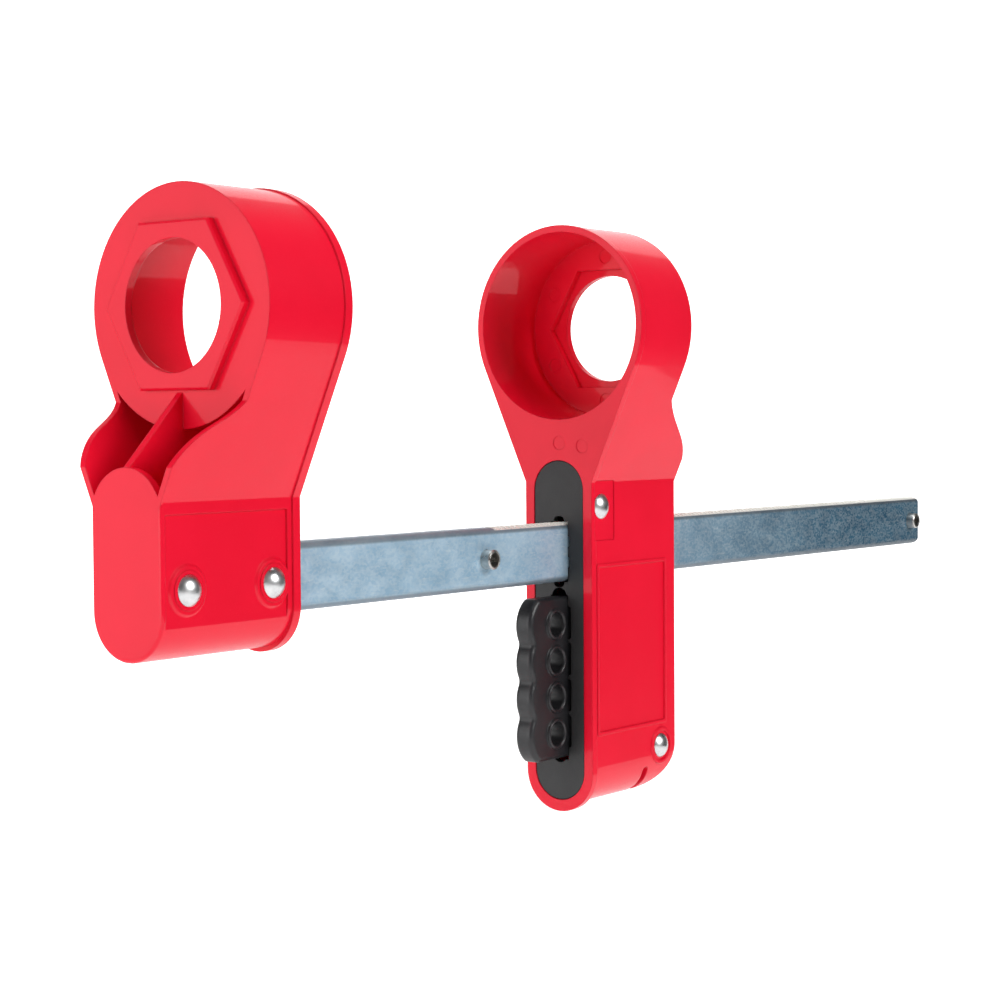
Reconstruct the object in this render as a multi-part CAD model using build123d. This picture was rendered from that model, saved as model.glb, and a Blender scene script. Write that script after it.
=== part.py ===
from build123d import *
import math
import os

# Lockout clamp for a flange stud: a fixed head on a toothed bar, and a sliding head that is
# pushed up the bar and held there by a pawl. Squeezing the trigger lifts the pawl, and a padlock
# through the trigger stops it being squeezed.
#
# The pieces are drawn with Z = 0 on the bar's centreline and X = 0 on the fixed head's outer
# ring face. On export everything moves down by BORE_UP, so the origin is the fixed bore's centre.

# heads, mm
BORE_UP = 96.3           # bore centre above the bar's centreline
RING_R = 42.5            # outside of both cups
CUP_MOUTH_R = 39.9       # inside of a cup at its open end
CUP_FLOOR_R = 38.6       # and at its floor
BORE_R = 23.1            # stud hole in the cup floor
FLOOR = 3.2              # cup floor, and height of the hexagon outside it
HEX_FLATS = 58.0         # raised hexagon, across flats
HEX_WALL = 3.2
FIXED_CUP = 41.2         # cup depths along X
SLIDING_CUP = 39.5
HALF_W = 16.9            # half width of the body under each cup
LEAN = math.radians(24.0)  # lean of the neck's side walls
WING_WALL = 2.3
MOUTH_WALL = 3.0
FIXED_BACK = -25.8       # X of the fixed body's flat end
FIXED_BOTTOM = -24.5
FIXED_RIM = (3.8, 0.6, -26.1)   # rim round the mouth: length, how proud, and its lowest Z
SLIDING_RIM = (3.5, 0.25, -111.6)
SLIDING_X = 223.2        # X of the sliding head's mouth face, at rest
SLIDING_DEPTH = 66.0
SLIDING_BOTTOM = -108.9
SLIDING_CORNER = 26.0    # radius of its lower rear corner
WING_AT = (0.0, 0.16, 0.60, 0.86, 1.0)          # a wing's edge from the ring to the body's end:
FIXED_WING = (63.5, 59.6, 52.9, 47.0, 41.4)     # shares of its length, and its Z there
SLIDING_WING = (64.5, 59.8, 50.6, 44.6, 38.6)
MARK_R = 3.0             # round ejector marks
MARK_DEPTH = 0.25
MARK_CIRCLE = 31.5       # on the cup floors, outside the hexagon

# bar, mm
BAR_W = 9.0
BAR_H = 25.4
BAR_START = -20.0
BAR_END = 557.5
BAR_EDGE = 3.0
PITCH = 3.4
TOOTH_DEPTH = 1.4
TOOTH_LEAN = 0.43        # steep flank, measured along X
TOOTH_SLOPE = 2.35       # easy flank, measured along X
TOOTH_COUNT = 96
STOP_R = 4.0
STOP_HALF = 9.0
STOP_X = (166.5, 547.0)

# fasteners, mm
RIVET_R = 3.2
FIXED_RIVETS = (-13.5, 27.8)
PANEL_DEPTH = 0.7        # of the panel round them
HOLE_GAP = 0.05

# mechanism in the sliding head, X measured from its mouth face
INSERT_W = 12.8
INSERT_TOP = 39.1
INSERT_LOW = -106.7
INSERT_T = 3.2
INSERT_GAP = 0.3         # gap all round the insert, and its depth below the mouth face
CAVITY_W = 11.6
CAVITY_END = 62.9
PIVOT = (8.3, 19.4)
LOWER_RIVET = (53.7, -88.4)
TOOTH_AT = 36.1          # the steep flank that the pawl's second tooth meets
TRAVEL = 10.0
LIFT = math.radians(6.0)
LIFT_PIN = (20.0, 22.4)
LIFT_PIN_R = 2.0
TRIGGER_FRONT = -26.4
SWELL_R = 13.3           # finger swells
TRIGGER_HALF = 4.3
TRIGGER_TOP = -18.9
TRIGGER_LOW = -87.9
HOLE_X = -8.6
HOLE_R = 5.0
HOLE_BOSS = (6.5, 1.3)   # boss round each hole: radius, height
HOLE_PITCH = 15.5
HOLE_Z = [-30.3 - HOLE_PITCH * k for k in range(4)]
SPRING_Z = (-38.0, -68.0)
PIVOT_STEP = 0.4         # depth of the step round the upper rivet
MOUTH_MARKS = ((-0.5, 46.5), (-12.4, 45.2), (12.6, 68.0))
CARRIAGE_PINS = ((15.0, -28.0), (15.0, -52.0))
TRIGGER_BACK = 24.0


# ---- helpers ----

def across(x):
    """Plane across the bar at X = x: sketch x is Y, sketch y is Z."""
    return Plane(origin=(x, 0, 0), x_dir=(0, 1, 0), z_dir=(1, 0, 0))


def along(y=0.0):
    """Plane along the bar at Y = y: sketch x is X, sketch y is Z."""
    return Plane(origin=(0, y, 0), x_dir=(1, 0, 0), z_dir=(0, -1, 0))


def plate_x(sketch, x0, x1):
    """A sketch in Y and Z, thickened from x0 to x1."""
    return extrude(across(x0) * sketch, amount=x1 - x0)


def plate_y(sketch, y0, y1):
    """A sketch in X and Z, thickened from y0 to y1."""
    return extrude(along(y1) * sketch, amount=y1 - y0)


def block(x, y, z):
    """A box from three (low, high) pairs."""
    size = [b - a for a, b in (x, y, z)]
    mid = [(a + b) / 2 for a, b in (x, y, z)]
    return Pos(*mid) * Box(*size)


def rod_x(radius, x0, x1, y, z):
    return plate_x(Pos(y, z) * Circle(radius), x0, x1)


def rod_y(radius, x, z, y0, y1):
    return plate_y(Pos(x, z) * Circle(radius), y0, y1)


def stadium(half_width, top, low):
    """A slot shape standing up in Z, with round ends."""
    mid = (top + low) / 2
    return Pos(0, mid) * Rot(0, 0, 90) * SlotOverall(top - low, 2 * half_width)


def outline(points):
    return make_face(Polyline(*points, close=True))


def mirrored(shape):
    return mirror(shape, about=Plane.XZ)


# ---- head shell, shared by both heads ----

TANGENT = (RING_R * math.cos(LEAN), BORE_UP - RING_R * math.sin(LEAN))
SHOULDER = TANGENT[1] - (TANGENT[0] - HALF_W) / math.tan(LEAN)


def head_outline(bottom):
    """The head seen along the bar: ring, leaning neck, upright sides and round bottom."""
    centre = bottom + HALF_W
    right = Line((HALF_W, SHOULDER), TANGENT)
    left = Line((-TANGENT[0], TANGENT[1]), (-HALF_W, SHOULDER))
    edges = [
        Line((HALF_W, centre), (HALF_W, SHOULDER)),
        right,
        Line(TANGENT, (-TANGENT[0], TANGENT[1])),
        left,
        Line((-HALF_W, SHOULDER), (-HALF_W, centre)),
        ThreePointArc((-HALF_W, centre), (0, bottom), (HALF_W, centre)),
    ]
    return make_face(edges) + Pos(0, BORE_UP) * Circle(RING_R)


def neck_room(floor):
    """Space inside the neck's leaning walls, above floor."""
    inset = WING_WALL / math.cos(LEAN)
    top = 80.0

    def wall(z):
        return HALF_W - inset + (z - SHOULDER) * math.tan(LEAN)

    return outline([(-wall(floor), floor), (wall(floor), floor), (wall(top), top), (-wall(top), top)])


def side_profile(ring_x, body_x, bottom, far, corner, wing):
    """The head seen from the side, from its ring face to its mouth face at X = far."""
    s = 1 if body_x > ring_x else -1
    reach = body_x - ring_x
    edges = [
        Spline([(ring_x + share * reach, z) for share, z in zip(WING_AT, wing)]),
        Line((body_x, wing[-1]), (body_x, bottom + corner)),
        Line((body_x - s * corner, bottom), (far, bottom)),
        Line((far, bottom), (far, BORE_UP + RING_R + 1)),
        Line((far, BORE_UP + RING_R + 1), (ring_x, BORE_UP + RING_R + 1)),
        Line((ring_x, BORE_UP + RING_R + 1), (ring_x, wing[0])),
    ]
    bend = 1 - math.sqrt(0.5)
    mid = (body_x - s * corner * bend, bottom + corner * bend)
    edges.append(ThreePointArc((body_x, bottom + corner), mid, (body_x - s * corner, bottom)))
    return make_face(edges)


def head_body(ring_x, body_x, bottom, far, corner, wing):
    """The outer form of a head, before anything is hollowed."""
    prism = plate_x(head_outline(bottom), min(body_x, far), max(body_x, far))
    ends = prism.edges().filter_by(GeomType.LINE, reverse=True)
    flat = [e for e in ends if abs(e.center().X - body_x) < 0.01 and e.center().Z < SHOULDER]
    prism = fillet(flat, 1.2)
    return prism & plate_y(side_profile(ring_x, body_x, bottom, far, corner, wing), -60, 60)


def mouth_rim(x0, x1, proud, low):
    """The slightly proud rim round a head's mouth face."""
    return plate_x(offset(head_outline(low + proud), proud), x0, x1)


def hexagon(flats):
    """A hexagon with flats above and below."""
    return Pos(0, BORE_UP) * RegularPolygon(flats / math.sqrt(3), 6)


def cup_cut(floor_x, mouth_x):
    """The drafted inside of a cup."""
    depth = abs(mouth_x - floor_x)
    turn = 90 if mouth_x > floor_x else -90
    cone = Cone(CUP_FLOOR_R, CUP_MOUTH_R, depth)
    return Pos((floor_x + mouth_x) / 2, 0, BORE_UP) * Rot(0, turn, 0) * cone


def ring_face(head, ring_x, mouth_x):
    """Hollow the cup and raise the hexagon round the stud hole, inside and out."""
    s = 1 if mouth_x > ring_x else -1
    floor_x = ring_x + s * FLOOR
    top_x = ring_x - s * FLOOR
    raised = plate_x(hexagon(HEX_FLATS), min(top_x, ring_x), max(top_x, ring_x))
    crown = [e for e in raised.edges() if abs(e.center().X - top_x) < 0.01]
    head = head + chamfer(crown, 0.8)
    head = head - cup_cut(floor_x, mouth_x)
    recess = hexagon(HEX_FLATS - 2 * HEX_WALL)
    head = head - plate_x(recess, min(ring_x, floor_x), max(ring_x, floor_x))
    mark_x = floor_x - s * MARK_DEPTH
    for turn in range(6):
        angle = math.radians(30 + 60 * turn)
        y = MARK_CIRCLE * math.cos(angle)
        z = BORE_UP + MARK_CIRCLE * math.sin(angle)
        head = head - rod_x(MARK_R, min(mark_x, floor_x), max(mark_x, floor_x), y, z)
    return head - rod_x(BORE_R, min(top_x, mouth_x) - 1, max(top_x, mouth_x) + 1, 0, BORE_UP)


def neck_pockets(ring_x, body_x, mouth_x, floor):
    """The two pockets in the neck, open on the ring side, with the ring's wall left whole."""
    wall_x = mouth_x - MOUTH_WALL if mouth_x > ring_x else mouth_x + MOUTH_WALL
    room = plate_x(neck_room(floor), min(body_x, wall_x), max(body_x, wall_x))
    ring = rod_x(RING_R, min(ring_x, mouth_x), max(ring_x, mouth_x), 0, BORE_UP)
    return room - ring


def centre_web(ring_x, end_x, wall_x, floor, root, tip):
    """The thin web on the mid-plane between the two pockets, from Z = root down to Z = tip."""
    front = [(ring_x, root), (end_x, tip), (end_x, floor), (ring_x, floor)]
    under = [(ring_x, floor), (wall_x, floor), (wall_x, 55.0), (ring_x, 55.0)]
    return plate_y(outline(front) + outline(under), -1.4, 1.4)


def dome_rivet(x, z, half_grip, head_r, head_h):
    """A round-headed rivet along Y, with both ends domed."""
    corner = (RIVET_R, half_grip)
    ball = (head_r ** 2 + head_h ** 2) / (2 * head_h)
    tip = half_grip + head_h
    half = math.sqrt(ball ** 2 - (head_r / 2) ** 2) + tip - ball
    edges = [
        Line((0, -tip), (0, tip)),
        ThreePointArc((0, tip), (head_r / 2, half), (head_r, half_grip)),
        Line((head_r, half_grip), corner),
        Line(corner, (RIVET_R, -half_grip)),
        Line((RIVET_R, -half_grip), (head_r, -half_grip)),
        ThreePointArc((head_r, -half_grip), (head_r / 2, -half), (0, -tip)),
    ]
    return Pos(x, 0, z) * revolve(make_face(edges), Axis.Y)


def rivet_boss(x, z, radius, rise):
    """A low round boss on both outer sides."""
    return rod_y(radius, x, z, -HALF_W - rise, HALF_W + rise)


def boss_ring(x, z, radius, rise):
    """A raised ring round a rivet's head, on both outer sides."""
    ring = rod_y(radius, x, z, HALF_W - 1, HALF_W + rise)
    ring = chamfer(ring.edges().filter_by(GeomType.CIRCLE).sort_by(Axis.Y)[-1], rise * 0.6)
    ring = ring - rod_y(radius - 1.7, x, z, HALF_W - 2, HALF_W + 2)
    return ring + mirrored(ring)


# ---- fixed head and bar ----

def fixed_head_casting():
    length, proud, low = FIXED_RIM
    head = head_body(0.0, FIXED_BACK, FIXED_BOTTOM, FIXED_CUP, 1.5, FIXED_WING)
    head = head + mouth_rim(FIXED_CUP - length, FIXED_CUP, proud, low)
    floor = 31.0
    plate = FIXED_BACK + 3.0
    head = head - neck_pockets(0.0, plate, FIXED_CUP, floor)
    arch = stadium(HALF_W, FIXED_WING[-1], FIXED_BOTTOM)
    gap = plate_x(neck_room(28.0) - arch, FIXED_BACK - 1, plate)
    head = head - gap
    web_root = FIXED_WING[0] + 3
    web = centre_web(0.0, FIXED_BACK + 0.6, FIXED_CUP - MOUTH_WALL, floor, web_root, FIXED_WING[-1])
    head = ring_face(head + web, 0.0, FIXED_CUP)
    panel = block((-24.0, 35.0), (HALF_W - PANEL_DEPTH, HALF_W + 8), (-12.6, 25.6))
    head = head - panel - mirrored(panel)
    for x in FIXED_RIVETS:
        cone = Pos(x, HALF_W - 1.0, 0) * Rot(-90, 0, 0) * Cone(10.6, 8.2, 2.0)
        head = head + cone + mirrored(cone) + rivet_boss(x, 0, 6.9, 0.35)
    bore = block((BAR_START - 0.3, FIXED_CUP + 1), (-4.6, 4.6), (-12.8, 12.8))
    head = head - bore
    core = block((FIXED_BACK + 3, FIXED_CUP + 1), (7.4, 13.9), (-13.0, 26.0))
    for x in FIXED_RIVETS:
        core = core - rod_y(7.0, x, 0, 7, 15)
    head = head - core - mirrored(core)
    for x in FIXED_RIVETS:
        head = head - rod_y(RIVET_R + HOLE_GAP, x, 0, -30, 30)
    return head


def bar_teeth():
    """Everything the tooth cutter takes off the bar's top edge."""
    top = BAR_H / 2
    first = SLIDING_X + TOOTH_AT - 25 * PITCH
    points = [(first - TOOTH_SLOPE - 0.05, top + 2)]
    for k in range(TOOTH_COUNT):
        base = first + k * PITCH
        points.append((base - TOOTH_SLOPE - 0.05, top))
        points.append((base - 0.05, top - TOOTH_DEPTH))
        points.append((base, top - TOOTH_DEPTH))
        points.append((base + TOOTH_LEAN, top))
    points.append((first + (TOOTH_COUNT - 1) * PITCH + TOOTH_LEAN, top + 2))
    return plate_y(outline(points), -BAR_W, BAR_W)


def ratchet_bar():
    profile = fillet(Rectangle(BAR_W, BAR_H).vertices(), BAR_EDGE)
    bar = plate_x(profile, BAR_START, BAR_END)
    length = BAR_END - BAR_START
    side = Pos(BAR_START + length / 2, 0) * RectangleRounded(length, BAR_H, 3.2)
    bar = bar & plate_y(side, -BAR_W, BAR_W)
    bar = bar - bar_teeth()
    for x in STOP_X:
        bar = bar - rod_y(STOP_R + 0.02, x, 0, -10, 10)
    for x in FIXED_RIVETS:
        bar = bar - rod_y(RIVET_R + HOLE_GAP, x, 0, -10, 10)
    return bar


def fixed_head_rivets():
    return Compound([dome_rivet(x, 0, HALF_W + 0.4, 5.5, 2.9) for x in FIXED_RIVETS])


def stop_pin(x):
    """A rolled spring pin, open along one side, driven through the bar."""
    pin = rod_y(STOP_R, x, 0, -STOP_HALF, STOP_HALF)
    pin = chamfer(pin.edges().filter_by(GeomType.CIRCLE), 0.5)
    pin = pin - rod_y(STOP_R - 1.1, x, 0, -STOP_HALF - 1, STOP_HALF + 1)
    return pin - block((x - 0.5, x + 0.5), (-STOP_HALF - 1, STOP_HALF + 1), (0, STOP_R + 1))


# ---- sliding head ----

def cavity_form(gap):
    """The mechanism's space, or with a gap, a piece that fits inside it."""
    top = INSERT_TOP - INSERT_W + CAVITY_W - gap
    low = INSERT_LOW + INSERT_W - CAVITY_W + gap
    room = plate_x(stadium(CAVITY_W - gap, top, low), 0, CAVITY_END - gap)
    length = CAVITY_END - gap
    side = Pos(length / 2, (top + low) / 2) * Rectangle(length, top - low)
    corners = side.vertices().sort_by(Axis.Y)[:2].sort_by(Axis.X)
    side = fillet(corners[-1], SLIDING_CORNER - SLIDING_DEPTH + CAVITY_END)
    return room & plate_y(side, -20, 20)


def drain_slot():
    """A slot across the rounded bottom, leaning back as it goes down."""
    strip = Pos(42.4, -98.0) * Rot(0, 0, 12) * Pos(0, -9.0) * SlotOverall(21.0, 4.2, rotation=90)
    return plate_y(strip, -20, 20)


def side_panel():
    """The shallow framed panel on both sides of the sliding head."""
    frame = Pos(30.9, -41.8) * RectangleRounded(54.0, 73.4, 1.0)
    field = Pos(30.9, -41.8) * RectangleRounded(51.0, 70.4, 0.8)
    groove = plate_y(frame, HALF_W - 0.35, HALF_W + 2)
    line = plate_y(frame - field, HALF_W - 0.4, HALF_W + 0.35)
    groove = groove - line
    return groove, line


def sliding_head_casting():
    length, proud, low = SLIDING_RIM
    head = head_body(SLIDING_CUP, SLIDING_DEPTH, SLIDING_BOTTOM, 0.0, SLIDING_CORNER, SLIDING_WING)
    head = head + mouth_rim(0.0, length, proud, low)
    floor = 41.0
    head = head - neck_pockets(SLIDING_CUP, SLIDING_DEPTH + 1, 0.0, floor)
    web_root = SLIDING_WING[0] + 3
    web = centre_web(SLIDING_CUP, CAVITY_END, MOUTH_WALL, floor - 0.5, web_root, floor + 2.0)
    head = ring_face(head + web, SLIDING_CUP, 0.0)
    groove, line = side_panel()
    head = head - groove - mirrored(groove)
    head = head + line + mirrored(line)
    step = plate_y(Pos(10.0, 17.6) * RectangleRounded(14.8, 25.6, 1.0), HALF_W - PIVOT_STEP, HALF_W + 2)
    head = head - step - mirrored(step) + boss_ring(*LOWER_RIVET, 8.2, 0.5)
    for y, z in MOUTH_MARKS:
        head = head - rod_x(MARK_R, 0.0, MARK_DEPTH, y, z)
    head = head - cavity_form(0.0)
    mouth = stadium(INSERT_W, INSERT_TOP, INSERT_LOW)
    head = head - plate_x(mouth, -1, INSERT_T)
    head = head - block((CAVITY_END - 1, SLIDING_DEPTH + 1), (-7.5, 7.5), (-15.8, 15.8))
    for x, z in (PIVOT, LOWER_RIVET):
        head = head - rod_y(RIVET_R + HOLE_GAP, x, z, -30, 30)
    for z in SPRING_Z:
        head = head - rod_x(2.05, CAVITY_END - 1, CAVITY_END + 1.8, 0, z)
    return head - drain_slot()


def bar_window(height_gap):
    """The opening a head's plastic guides leave for the bar."""
    return Rectangle(BAR_W + 0.4, BAR_H + 2 * height_gap)


def face_insert():
    form = stadium(INSERT_W - INSERT_GAP, INSERT_TOP - INSERT_GAP, INSERT_LOW + INSERT_GAP)
    plate = plate_x(form, INSERT_GAP, INSERT_T)
    window = bar_window(0.2) + RectangleRounded(5.4, BAR_H + 5.0, 2.0)
    for z in (-4.4, 4.4):
        window = window + Pos(0, z) * RectangleRounded(BAR_W + 2.0, 4.6, 0.9)
    low = TRIGGER_LOW - 1.2
    high = TRIGGER_TOP + 0.3
    slot = Pos(0, (low + high) / 2) * Rectangle(2 * TRIGGER_HALF + 0.4, high - low)
    slot = slot + stadium(3.8, high + 3.2, low - 1.4)
    radius, rise = HOLE_BOSS
    for z in HOLE_Z:
        slot = slot + Pos(0, z) * RectangleRounded(2 * (TRIGGER_HALF + rise) + 0.8, 2 * radius + 1.0, 1.2)
    return plate - plate_x(window + slot, -1, INSERT_T + 1)


def rear_bar_guide():
    """The rear guide: a collar in the back wall with a flange inside it."""
    collar = plate_x(Rectangle(14.9, 31.5), 57.0, SLIDING_DEPTH)
    flange = plate_x(RectangleRounded(20.0, 36.0, 2.0), 57.0, CAVITY_END - 0.1)
    return collar + flange - plate_x(bar_window(0.2), 50, 70)


def pivot_spacers():
    """Tubes that hold the pawl on the mid-plane."""
    tube = rod_y(5.0, *PIVOT, 4.1, CAVITY_W - 0.1) - rod_y(RIVET_R + HOLE_GAP, *PIVOT, 3, 13)
    return Compound([tube, mirrored(tube)])


def trigger_guide_block():
    """The block at the bottom of the cavity that the trigger's foot runs in."""
    body = block((38.0, CAVITY_END), (-12, 12), (-98.0, -76.0)) & cavity_form(0.1)
    groove = block((37.0, 57.0), (-3.1, 3.1), (-82.1, -75.0))
    hole = rod_y(RIVET_R + HOLE_GAP, *LOWER_RIVET, -13, 13)
    slot = plate_y(trace(Line((36.0, -99.0), (37.0, -99.0)), 1.0), -1, 1)
    return body - groove - hole - slot


def coil(radius, wire, length, turns):
    """A compression spring standing on Z = 0."""
    height = length - 2 * wire
    path = Helix(pitch=height / turns, height=height, radius=radius)
    section = Plane(origin=path @ 0, z_dir=path % 0) * Circle(wire)
    return Pos(0, 0, wire) * sweep(section, path=path, is_frenet=True)


def trigger_springs():
    length = CAVITY_END - TRIGGER_BACK - 0.1
    spring = Rot(0, 90, 0) * coil(3.3, 0.45, length, 11)
    return Compound([Pos(TRIGGER_BACK + 0.05, 0, z) * spring for z in SPRING_Z])


def spring_rods():
    return Compound([rod_x(2.0, 22.0, CAVITY_END + 1.7, 0, z) for z in SPRING_Z])


# ---- trigger ----

def grip_outline():
    """The trigger seen from the side: four finger swells down its front."""
    height = TRIGGER_TOP - TRIGGER_LOW
    mid = (TRIGGER_TOP + TRIGGER_LOW) / 2
    back = 5.0
    core = TRIGGER_FRONT + 6.2
    plate = Pos((core + back) / 2, mid) * RectangleRounded(back - core, height, 3.0)
    for z in HOLE_Z:
        plate = plate + Pos(TRIGGER_FRONT + SWELL_R, z) * Circle(SWELL_R)
    limits = Pos(back - 25.0, mid) * Rectangle(50.0, height)
    plate = plate & limits
    front = [v for v in plate.vertices() if v.X < TRIGGER_FRONT + 12]
    plate = fillet(front, 3.0)
    neck = Pos(1.0, mid) * Rectangle(10.0, height - 4.0)
    return plate + neck


def trigger_grip():
    swell_face = grip_outline()
    grip = plate_y(swell_face, -TRIGGER_HALF, TRIGGER_HALF)
    rims = [e for e in grip.edges() if abs(abs(e.center().Y) - TRIGGER_HALF) < 0.01]
    front = [e for e in rims if e.center().X < TRIGGER_FRONT + 15]
    grip = fillet(front, 2.0)
    radius, rise = HOLE_BOSS
    for z in HOLE_Z:
        boss = rod_y(radius, HOLE_X, z, -TRIGGER_HALF - rise, TRIGGER_HALF + rise)
        grip = grip + chamfer(boss.edges().filter_by(GeomType.CIRCLE), 0.4)
    grip = grip + block((3.4, 6.2), (-8.0, 8.0), (-84.0, -24.0))
    grip = grip + block((3.4, TRIGGER_BACK), (-5.1, 5.1), (-84.0, -22.0))
    grip = grip + block((6.0, 44.0), (-3.0, 3.0), (-82.0, -77.5))
    lip = 0.6
    flare = Rot(-90, 0, 0) * Cone(HOLE_R, HOLE_R + lip, lip)
    for z in HOLE_Z:
        mouth = Pos(HOLE_X, TRIGGER_HALF + rise - lip / 2, z) * flare
        grip = grip - rod_y(HOLE_R, HOLE_X, z, -12, 12) - mouth - mirrored(mouth)
    for x, z in CARRIAGE_PINS:
        grip = grip - rod_y(2.02, x, z, -12, 12)
    for z in SPRING_Z:
        grip = grip - rod_x(2.1, 8.0, 30.0, 0, z)
    return grip


def carriage_plates():
    """The two side plates that carry the trigger's pull past the bar, up to the lift pin."""
    shape = outline([
        (10.0, -60.0), (22.0, -60.0), (23.0, -20.0), (25.5, 12.0), (25.5, 26.6),
        (14.4, 26.6), (14.4, -10.0), (10.0, -20.0),
    ])
    shape = shape - Pos(*LIFT_PIN) * Circle(LIFT_PIN_R + 0.02)
    for x, z in CARRIAGE_PINS:
        shape = shape - Pos(x, z) * Circle(2.02)
    plate = plate_y(shape, 5.2, 7.2)
    return Compound([plate, mirrored(plate)])


def carriage_pins():
    return Compound([rod_y(2.0, x, z, -7.9, 7.9) for x, z in CARRIAGE_PINS])


def lift_pin():
    return rod_y(LIFT_PIN_R, *LIFT_PIN, -7.9, 7.9)


# ---- pawl ----

def pin_in_pawl(travel):
    """Where the lift pin is in the resting pawl's own frame, at some trigger travel."""
    angle = LIFT * travel / TRAVEL
    dx = LIFT_PIN[0] + travel - PIVOT[0]
    dz = LIFT_PIN[1] - PIVOT[1]
    x = PIVOT[0] + dx * math.cos(angle) + dz * math.sin(angle)
    z = PIVOT[1] - dx * math.sin(angle) + dz * math.cos(angle)
    return x, z


def pawl_window():
    """The window the lift pin works in: its top edge is the cam that lifts the pawl."""
    radius = LIFT_PIN_R + 0.1
    path = [pin_in_pawl(TRAVEL * k / 8) for k in range(9)]
    low = path[-1][1] - radius
    roof = [(x, z + radius) for x, z in path]
    window = outline(roof + [(path[-1][0], low), (path[0][0], low)])
    window = window + Pos(*path[-1]) * Circle(radius) + Pos(*path[0]) * Circle(radius)
    left = path[0][0] - radius
    return window + outline([(left, path[0][1]), (left, low), (path[0][0], low), path[0]])


def pawl_nose():
    """Two teeth that sit in the bar's teeth, a hair clear of both flanks."""
    top = BAR_H / 2
    second = TOOTH_AT
    first = second - PITCH
    slope = TOOTH_DEPTH / TOOTH_SLOPE
    tip = top - TOOTH_DEPTH + 0.12
    rise = 13.3 - tip
    valley = top + 0.12
    return [
        (first - 0.12 - rise / slope, 13.3),
        (first - 0.12, tip),
        (first - 0.12 + TOOTH_LEAN, valley),
        (second - 0.12 - TOOTH_DEPTH / slope, valley),
        (second - 0.12, tip),
        (second - 0.12 + TOOTH_LEAN * rise / TOOTH_DEPTH, 13.3),
    ]


def pawl():
    back = [(39.5, 14.0), (39.5, 28.2), (14.0, 28.2), (8.3, 24.4)]
    shape = outline([(8.3, 14.4), (12.5, 13.3)] + pawl_nose() + back) + Pos(*PIVOT) * Circle(5.0)
    shape = shape - pawl_window() - Pos(*PIVOT) * Circle(4.22)
    arm = plate_y(shape, -4.0, 4.0)
    post = Pos(33.0, 0, 28.2 + 1.2) * Cylinder(1.8, 2.6)
    return arm + post


def pawl_bush():
    return rod_y(4.2, *PIVOT, -4.0, 4.0) - rod_y(RIVET_R + HOLE_GAP, *PIVOT, -5, 5)


def pawl_spring():
    roof = INSERT_TOP - INSERT_W + CAVITY_W
    return Pos(33.0, 0, 28.25) * coil(2.6, 0.4, roof - 28.25 - 0.6, 4)


# ---- export ----

FIXED_NODES = {
    "fixed_head_casting": fixed_head_casting,
    "ratchet_bar": ratchet_bar,
    "fixed_head_rivets": fixed_head_rivets,
    "near_stop_pin": lambda: stop_pin(STOP_X[0]),
    "far_stop_pin": lambda: stop_pin(STOP_X[1]),
}

SLIDING_NODES = {
    "sliding_head_casting": sliding_head_casting,
    "face_insert": face_insert,
    "rear_bar_guide": rear_bar_guide,
    "pawl_pivot_rivet": lambda: dome_rivet(*PIVOT, HALF_W - PIVOT_STEP, 5.4, 2.5),
    "lower_rivet": lambda: dome_rivet(*LOWER_RIVET, HALF_W, 5.4, 2.5),
    "pivot_spacers": pivot_spacers,
    "trigger_guide_block": trigger_guide_block,
    "trigger_springs": trigger_springs,
    "spring_rods": spring_rods,
    "pawl_spring": pawl_spring,
    "trigger_grip": trigger_grip,
    "carriage_plates": carriage_plates,
    "carriage_pins": carriage_pins,
    "lift_pin": lift_pin,
    "pawl": pawl,
    "pawl_bush": pawl_bush,
}

os.makedirs("parts", exist_ok=True)
for name, make in FIXED_NODES.items():
    export_step(Pos(0, 0, -BORE_UP) * make(), "parts/" + name + ".step")
for name, make in SLIDING_NODES.items():
    export_step(Pos(SLIDING_X, 0, -BORE_UP) * make(), "parts/" + name + ".step")
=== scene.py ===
import bpy
import math
from mathutils import Matrix, Vector


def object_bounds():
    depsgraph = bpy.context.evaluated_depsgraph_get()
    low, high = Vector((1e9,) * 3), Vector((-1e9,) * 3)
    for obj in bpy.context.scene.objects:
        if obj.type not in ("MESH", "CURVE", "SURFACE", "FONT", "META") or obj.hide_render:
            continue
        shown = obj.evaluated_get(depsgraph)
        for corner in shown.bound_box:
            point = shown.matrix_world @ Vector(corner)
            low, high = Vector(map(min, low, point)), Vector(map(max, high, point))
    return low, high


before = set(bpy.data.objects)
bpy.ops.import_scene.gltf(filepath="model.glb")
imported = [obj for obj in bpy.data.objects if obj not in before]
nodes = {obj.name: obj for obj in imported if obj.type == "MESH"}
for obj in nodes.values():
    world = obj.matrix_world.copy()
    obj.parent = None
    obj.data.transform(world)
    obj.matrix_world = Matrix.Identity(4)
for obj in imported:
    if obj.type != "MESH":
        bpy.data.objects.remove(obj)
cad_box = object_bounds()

scene = bpy.context.scene

# Lengths are in metres. The bar's levels and marks are those of the CAD frame, whose X runs along
# the bar and whose Z = 0 is the bores' axis.
BAR_MIDDLE = -0.0963         # Z of the bar's centreline
BAR_HALF = 0.0127
REFLECTION_BAND = 0.0032              # how far the painted dark reflection along the top and bottom corners reaches in from an edge
FIRST_TOOTH = 0.173          # X where the teeth start
TOOTH_ROOT = 0.0014          # depth of the teeth
SHADE_SPAN = (0.17, 0.50)          # X over which painted shade and dark reflection make the bar darker and bluer towards its far end

CAMERA_PLACE = (-0.52080, -0.53123, -0.03990)
CAMERA_YAW = math.radians(37.09)     # how far it looks off the bar's axis
CAMERA_PITCH = math.radians(2.14)    # downwards
CAMERA_ROLL = math.radians(-0.38)
CAMERA_LENS = 77.06                  # mm, on a sensor 36 mm wide
FLOOR_DROP = 0.10                    # the clamp hangs from its stud, clear of the floor


# ---- material building ----

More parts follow.
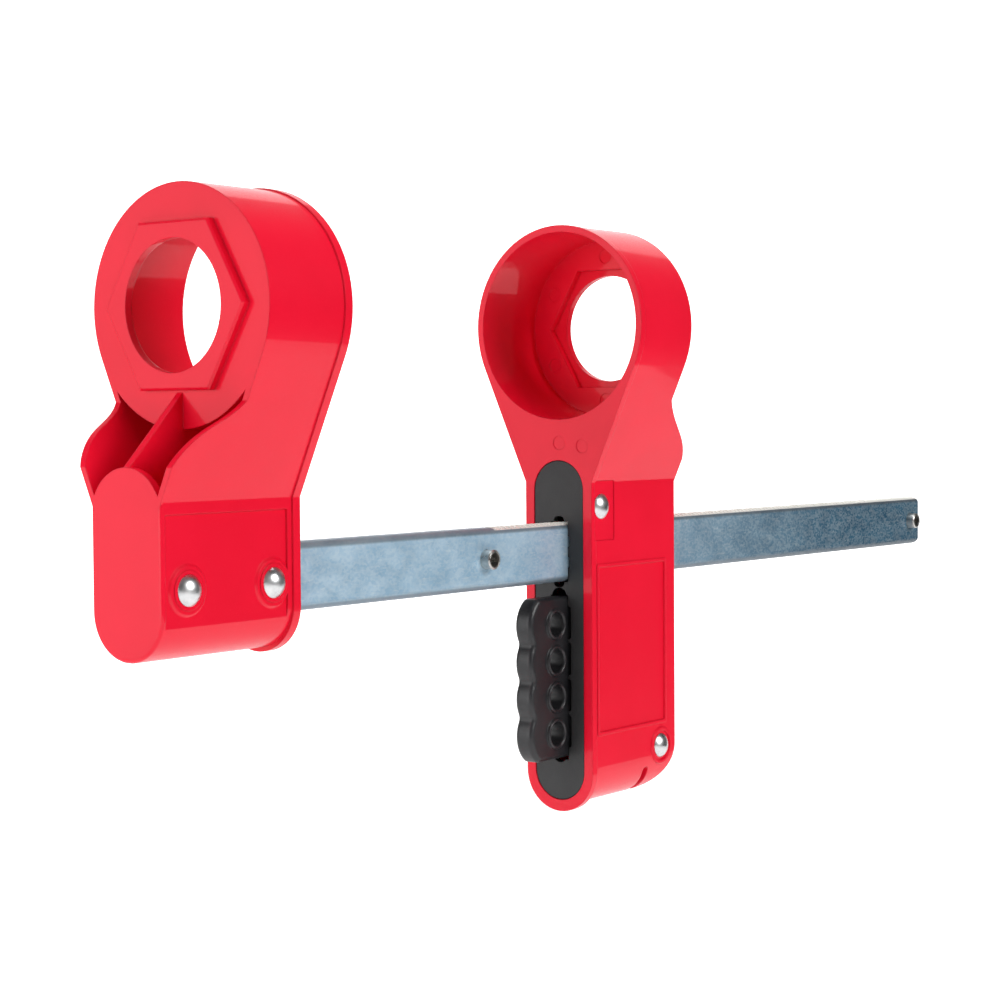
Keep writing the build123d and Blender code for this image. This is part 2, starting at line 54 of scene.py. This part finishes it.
class Maker:
    """A node material under construction. Every texture reads object coordinates, in metres."""

    def __init__(self, name):
        self.mat = bpy.data.materials.new(name)
        self.mat.use_nodes = True
        self.tree = self.mat.node_tree
        self.shader = self.tree.nodes["Principled BSDF"]
        self.coords = self.tree.nodes.new("ShaderNodeTexCoord").outputs["Object"]

    def set(self, **values):
        for key, value in values.items():
            self.shader.inputs[key.replace("_", " ")].default_value = value

    def link(self, source, target):
        self.tree.links.new(source, target)

    def texture(self, kind, scale, stretch):
        """A texture node of some scale, with its coordinates stretched along each axis."""
        mapping = self.tree.nodes.new("ShaderNodeMapping")
        mapping.inputs["Scale"].default_value = stretch
        self.link(self.coords, mapping.inputs["Vector"])
        tex = self.tree.nodes.new(kind)
        tex.inputs["Scale"].default_value = scale
        self.link(mapping.outputs["Vector"], tex.inputs["Vector"])
        return tex

    def noise(self, scale, detail=3.0, rough=0.55, stretch=(1, 1, 1)):
        tex = self.texture("ShaderNodeTexNoise", scale, stretch)
        tex.inputs["Detail"].default_value = detail
        tex.inputs["Roughness"].default_value = rough
        return tex.outputs["Fac"]

    def cells(self, scale, stretch=(1, 1, 1)):
        """A random grey for each cell."""
        tex = self.texture("ShaderNodeTexVoronoi", scale, stretch)
        grey = self.tree.nodes.new("ShaderNodeRGBToBW")
        self.link(tex.outputs["Color"], grey.inputs[0])
        return grey.outputs[0]

    def axis(self, index):
        """Distance along X, Y or Z, for index 0, 1 or 2."""
        split = self.tree.nodes.new("ShaderNodeSeparateXYZ")
        self.link(self.coords, split.inputs["Vector"])
        return split.outputs[index]

    def math(self, kind, a, b):
        node = self.tree.nodes.new("ShaderNodeMath")
        node.operation = kind
        for socket, value in zip(node.inputs, (a, b)):
            if isinstance(value, float):
                socket.default_value = value
            else:
                self.link(value, socket)
        return node.outputs[0]

    def span(self, value, low, high, out_low=0.0, out_high=1.0):
        """Value's way from low to high, eased, as a number from out_low to out_high."""
        node = self.tree.nodes.new("ShaderNodeMapRange")
        node.interpolation_type = "SMOOTHSTEP"
        node.inputs["From Min"].default_value = low
        node.inputs["From Max"].default_value = high
        node.inputs["To Min"].default_value = out_low
        node.inputs["To Max"].default_value = out_high
        self.link(value, node.inputs["Value"])
        return node.outputs["Result"]

    def mix(self, fac, a, b):
        """Colour a where fac is 0, and b where it is 1."""
        node = self.tree.nodes.new("ShaderNodeMix")
        node.data_type = "RGBA"
        self.link(fac, node.inputs[0])
        for socket, value in ((node.inputs[6], a), (node.inputs[7], b)):
            if isinstance(value, tuple):
                socket.default_value = (*value, 1.0)
            else:
                self.link(value, socket)
        return node.outputs[2]

    def relief(self, *layers, soft):
        """Bumps from (height, strength, depth), over edges softened by a radius."""
        bevel = self.tree.nodes.new("ShaderNodeBevel")
        bevel.samples = 6
        bevel.inputs["Radius"].default_value = soft
        last = bevel.outputs["Normal"]
        for height, strength, depth in layers:
            bump = self.tree.nodes.new("ShaderNodeBump")
            bump.inputs["Strength"].default_value = strength
            bump.inputs["Distance"].default_value = depth
            self.link(height, bump.inputs["Height"])
            self.link(last, bump.inputs["Normal"])
            last = bump.outputs["Normal"]
        self.link(last, self.shader.inputs["Normal"])


def red_paint():
    """Powder paint: slightly blotchy, with a fine grain and orange peel under a clear gloss."""
    m = Maker("red_powder_paint")
    blotch = m.noise(18.0, 3.0)
    grain = m.noise(1900.0, 2.0, 0.6)
    base = m.mix(m.span(blotch, 0.3, 0.7), (0.76, 0.003, 0.024), (0.82, 0.004, 0.029))
    base = m.mix(m.span(grain, 0.58, 0.80, 0.0, 0.30), base, (0.90, 0.03, 0.06))
    m.link(base, m.shader.inputs["Base Color"])
    m.link(m.span(grain, 0.25, 0.75, 0.30, 0.42), m.shader.inputs["Roughness"])
    m.set(Specular_IOR_Level=0.12, Coat_Weight=0.42, Coat_Roughness=0.06, IOR=1.5)
    peel = m.noise(420.0, 2.0, 0.5)
    m.relief((peel, 0.18, 0.00012), (grain, 0.22, 0.00004), soft=0.0008)
    return m.mat


def zinc_plate():
    """Cloudy zinc. Painted shade and dark reflection make it bluer and darker along the bar, a painted
    dark reflection greys its top and bottom corners, and the teeth are paler.
    """
    m = Maker("zinc_plated_bar")
    cloud = m.noise(110.0, 6.0, 0.68, (0.6, 1, 1))
    spangle = m.cells(1300.0, (0.6, 1, 0.9))
    streak = m.noise(900.0, 3.0, 0.6, (0.12, 1, 1))
    near = m.mix(m.span(cloud, 0.35, 0.68), (0.30, 0.49, 0.65), (0.41, 0.58, 0.71))
    far = m.mix(m.span(cloud, 0.35, 0.68), (0.014, 0.090, 0.165), (0.035, 0.130, 0.210))
    # Painted shade and dark reflection: the colour turns from the near zinc to the darker, bluer far
    # zinc along X.
    colour = m.mix(m.span(m.axis(0), *SHADE_SPAN), near, far)
    colour = m.mix(m.span(spangle, 0.1, 0.9, 0.0, 0.20), colour, (0.78, 0.82, 0.80))
    colour = m.mix(m.span(streak, 0.55, 0.8, 0.0, 0.28), colour, (0.85, 0.84, 0.78))
    height = m.axis(2)
    # Painted dark reflection: bands along the bar's top and bottom corners turn darker grey.
    edge = BAR_HALF - REFLECTION_BAND
    top = m.span(height, BAR_MIDDLE + edge, BAR_MIDDLE + edge + 0.0012)
    foot = m.span(height, BAR_MIDDLE - edge, BAR_MIDDLE - edge - 0.0018)
    painted_reflection = m.math("MULTIPLY", m.math("MAXIMUM", top, foot), 0.72)
    colour = m.mix(painted_reflection, colour, (0.10, 0.11, 0.12))
    # The teeth, above their root and past the first tooth, are paler.
    root = BAR_MIDDLE + BAR_HALF - TOOTH_ROOT
    past_first = m.span(m.axis(0), FIRST_TOOTH - 0.001, FIRST_TOOTH + 0.001)
    teeth = m.math("MULTIPLY", past_first, m.span(height, root, root + 0.0003))
    colour = m.mix(teeth, colour, (0.80, 0.79, 0.74))
    m.link(colour, m.shader.inputs["Base Color"])
    m.set(Metallic=0.4, Specular_IOR_Level=0.5)
    m.link(m.span(cloud, 0.3, 0.7, 0.34, 0.52), m.shader.inputs["Roughness"])
    m.relief((streak, 0.25, 0.00006), (cloud, 0.2, 0.0001), soft=0.0004)
    return m.mat


def bright_steel(name, low, high, rough):
    """Bare or plated metal, between two colours, with a smeared finish."""
    m = Maker(name)
    smear = m.noise(160.0, 4.0, 0.6)
    fine = m.noise(1500.0, 3.0, 0.6, (1, 0.3, 1))
    m.link(m.mix(m.span(smear, 0.35, 0.7), low, high), m.shader.inputs["Base Color"])
    m.set(Metallic=1.0)
    m.link(m.span(smear, 0.3, 0.7, rough, rough + 0.14), m.shader.inputs["Roughness"])
    m.relief((fine, 0.12, 0.00003), soft=0.0003)
    return m.mat


def black_plastic(name, low, high, rough, grain_scale, depth, soft):
    """Moulded plastic between two colours, with a grain of some scale and depth."""
    m = Maker(name)
    grain = m.noise(grain_scale, 3.0, 0.6)
    cloud = m.noise(45.0, 3.0)
    m.link(m.mix(m.span(cloud, 0.3, 0.7), low, high), m.shader.inputs["Base Color"])
    m.link(m.span(grain, 0.3, 0.7, rough, rough + 0.12), m.shader.inputs["Roughness"])
    m.set(Specular_IOR_Level=0.5, IOR=1.5)
    m.relief((grain, 0.35, depth), soft=soft)
    return m.mat


def dress(material, *names):
    for name in names:
        for slot in nodes[name].material_slots:
            slot.material = material


rivet_steel = bright_steel("rivet_steel", (0.58, 0.59, 0.60), (0.74, 0.75, 0.75), 0.24)
spring_pin_steel = bright_steel("spring_pin_steel", (0.42, 0.41, 0.39), (0.60, 0.59, 0.56), 0.26)
plated_steel = bright_steel("plated_steel", (0.50, 0.51, 0.50), (0.66, 0.67, 0.66), 0.28)
spring_wire = bright_steel("spring_wire", (0.30, 0.31, 0.32), (0.45, 0.45, 0.46), 0.25)
pawl_steel = bright_steel("pawl_hard_steel", (0.16, 0.16, 0.17), (0.26, 0.26, 0.27), 0.35)
bronze = bright_steel("bush_bronze", (0.48, 0.30, 0.14), (0.62, 0.42, 0.22), 0.30)
insert_nylon = black_plastic(
    "insert_nylon", (0.013, 0.013, 0.014), (0.020, 0.020, 0.021),
    rough=0.48, grain_scale=2200.0, depth=0.00005, soft=0.0004)
trigger_nylon = black_plastic(
    "trigger_nylon", (0.010, 0.010, 0.012), (0.018, 0.018, 0.020),
    rough=0.30, grain_scale=1500.0, depth=0.00003, soft=0.0012)

dress(red_paint(), "fixed_head_casting", "sliding_head_casting")
dress(zinc_plate(), "ratchet_bar")
dress(rivet_steel, "fixed_head_rivets", "pawl_pivot_rivet", "lower_rivet")
dress(spring_pin_steel, "near_stop_pin", "far_stop_pin")
dress(plated_steel, "pivot_spacers", "spring_rods", "carriage_plates", "carriage_pins", "lift_pin")
dress(spring_wire, "trigger_springs", "pawl_spring")
dress(pawl_steel, "pawl")
dress(bronze, "pawl_bush")
dress(insert_nylon, "face_insert", "rear_bar_guide", "trigger_guide_block")
dress(trigger_nylon, "trigger_grip")


# ---- stage ----

def make_floor():
    """A pale strip that runs away from the camera, widens, and curves up into a backdrop. It glows as
    painted light, dim near the camera and full at the back.
    """
    near_half, far_half = 0.78, 2.2
    front, wide_from = -1.6, 0.7
    back, bend, top = 2.3, 0.8, 2.6
    profile = [(front, 0.0), (wide_from, 0.0), (back, 0.0)]
    steps = 12
    for k in range(1, steps + 1):
        a = math.radians(90 * k / steps)
        profile.append((back + bend * math.sin(a), bend - bend * math.cos(a)))
    profile.append((back + bend, top))
    verts = []
    for x, z in profile:
        half = far_half if x > wide_from else near_half
        verts.append((x, -half, z))
        verts.append((x, half, z))
    faces = [(2 * i, 2 * i + 2, 2 * i + 3, 2 * i + 1) for i in range(len(profile) - 1)]
    mesh = bpy.data.meshes.new("studio_floor")
    mesh.from_pydata(verts, [], faces)
    mesh.shade_smooth()
    floor = bpy.data.objects.new("studio_floor", mesh)
    scene.collection.objects.link(floor)
    floor.rotation_euler = (0, 0, CAMERA_YAW)
    lowest = cad_box[0][2]
    floor.location = (0.0, 0.0, lowest - FLOOR_DROP)
    m = Maker("pale_floor")
    m.set(Base_Color=(0.92, 0.92, 0.92, 1.0), Roughness=0.9, Specular_IOR_Level=0.1)
    m.set(Emission_Color=(1.0, 1.0, 1.0, 1.0))
    # Painted light: the floor glows, though it is no lamp, more strongly the farther it runs from the
    # camera.
    glow = m.span(m.axis(0), 0.5, 2.0, 0.27, 1.0)
    m.link(glow, m.shader.inputs["Emission Strength"])
    mesh.materials.append(m.mat)


make_floor()


def make_world():
    """White behind everything, but dim as a light, so that reflections keep their contrast."""
    world = bpy.data.worlds.new("studio")
    scene.world = world
    world.use_nodes = True
    tree = world.node_tree
    shade = tree.nodes["Background"]
    shade.inputs["Color"].default_value = (1.0, 1.0, 1.0, 1.0)
    path = tree.nodes.new("ShaderNodeLightPath")
    level = tree.nodes.new("ShaderNodeMapRange")
    level.inputs["To Min"].default_value = 0.10
    level.inputs["To Max"].default_value = 1.0
    tree.links.new(path.outputs["Is Camera Ray"], level.inputs["Value"])
    tree.links.new(level.outputs["Result"], shade.inputs["Strength"])


make_world()


def area(name, place, target, width, height, watts):
    data = bpy.data.lights.new(name, "AREA")
    data.shape = "RECTANGLE"
    data.size = width
    data.size_y = height
    data.energy = watts
    light = bpy.data.objects.new(name, data)
    scene.collection.objects.link(light)
    light.location = place
    aim = Vector(target) - Vector(place)
    light.rotation_euler = aim.to_track_quat("-Z", "Y").to_euler()


area("key_front", (0.40, -1.77, 0.80), (0.12, 0.0, -0.05), 1.0, 0.9, 27.5)
area("left_panel", (-1.40, 0.30, 0.12), (0.1, 0.0, -0.03), 1.2, 1.4, 14.5)
area("left_card", (-1.05, 1.15, 0.10), (0.1, 0.0, -0.03), 0.8, 1.0, 3.5)
area("top_soft", (0.20, 0.15, 1.25), (0.20, 0.0, -0.05), 1.3, 0.9, 14.0)


# ---- camera ----

def make_camera():
    ahead = Vector((math.cos(CAMERA_YAW), math.sin(CAMERA_YAW), 0.0))
    right = Vector((math.sin(CAMERA_YAW), -math.cos(CAMERA_YAW), 0.0))
    forward = ahead * math.cos(CAMERA_PITCH) - Vector((0.0, 0.0, math.sin(CAMERA_PITCH)))
    up = right.cross(forward)
    x_axis = right * math.cos(CAMERA_ROLL) + up * math.sin(CAMERA_ROLL)
    y_axis = up * math.cos(CAMERA_ROLL) - right * math.sin(CAMERA_ROLL)
    data = bpy.data.cameras.new("camera")
    data.sensor_width = 36.0
    data.lens = CAMERA_LENS
    data.clip_start = 0.01
    camera = bpy.data.objects.new("camera", data)
    scene.collection.objects.link(camera)
    turn = Matrix((x_axis, y_axis, -forward)).transposed()
    camera.matrix_world = Matrix.Translation(CAMERA_PLACE) @ turn.to_4x4()
    scene.camera = camera


make_camera()
scene.view_settings.view_transform = "Standard"
